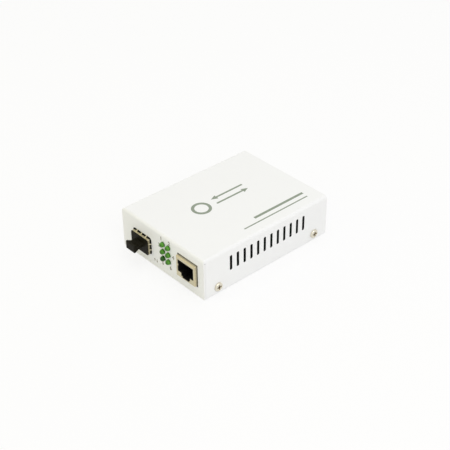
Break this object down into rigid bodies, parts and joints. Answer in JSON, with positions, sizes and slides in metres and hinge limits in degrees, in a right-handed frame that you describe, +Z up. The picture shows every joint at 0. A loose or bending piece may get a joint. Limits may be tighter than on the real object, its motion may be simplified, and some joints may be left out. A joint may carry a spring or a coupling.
{
  "type": "fibre media converter",
  "caption": "Small white folded-steel box that joins a copper network line to a pluggable fibre port, with indicator lamps, side vents, a rear DC inlet and a pull-out dust plug.",
  "frame": {"origin": "middle of the flat underside of the case", "axes": "+Z up, -Y out of the front with the ports, +X to the right seen from the front"},
  "size_m": [0.0732, 0.103, 0.026],
  "materials": {
    "powder_coat": "satin white powder coat",
    "nickel_screw": "nickel plate",
    "tinned_sheet": "bright tin plate",
    "plated_pin": "bright plate",
    "gold_contact": "gold flash",
    "board_laminate": "green solder mask",
    "black_moulding": "black moulded plastic",
    "plug_rubber": "black soft plastic",
    "green_lens": "clear green epoxy",
    "dark_case": "dark epoxy",
    "can_metal": "bright can",
    "tinned_wire": "tinned wire"
  },
  "bodies": {
    "converter": {"base_pan": "powder_coat", "board_standoffs": "plated_pin", "circuit_board": "board_laminate", "top_cover": "powder_coat", "board_screws": "nickel_screw", "case_screws": "nickel_screw", "sfp_cage": "tinned_sheet", "sfp_spring_collar": "tinned_sheet", "sfp_host_connector": "black_moulding", "jack_shell": "tinned_sheet", "jack_housing": "black_moulding", "jack_contacts": "gold_contact", "lamp_holder": "black_moulding", "lamp_low_left": "green_lens", "lamp_low_right": "green_lens", "lamp_middle_left": "green_lens", "lamp_middle_right": "green_lens", "lamp_high_left": "green_lens", "lamp_high_right": "green_lens", "lamp_leads": "tinned_wire", "inlet_housing": "black_moulding", "inlet_pin": "plated_pin", "inlet_spring": "plated_pin", "line_transformer": "dark_case", "converter_chip": "dark_case", "crystal_can": "can_metal", "power_inductor": "dark_case", "voltage_regulator": "dark_case", "filter_capacitors": "can_metal"},
    "plug": {"dust_plug": "plug_rubber"}
  },
  "joints": [
    {"name": "plug_pull", "type": "slide", "parent": "converter", "child": "plug", "axis": [0, -1, 0], "range_m": [0, 0.03]}
  ]
}
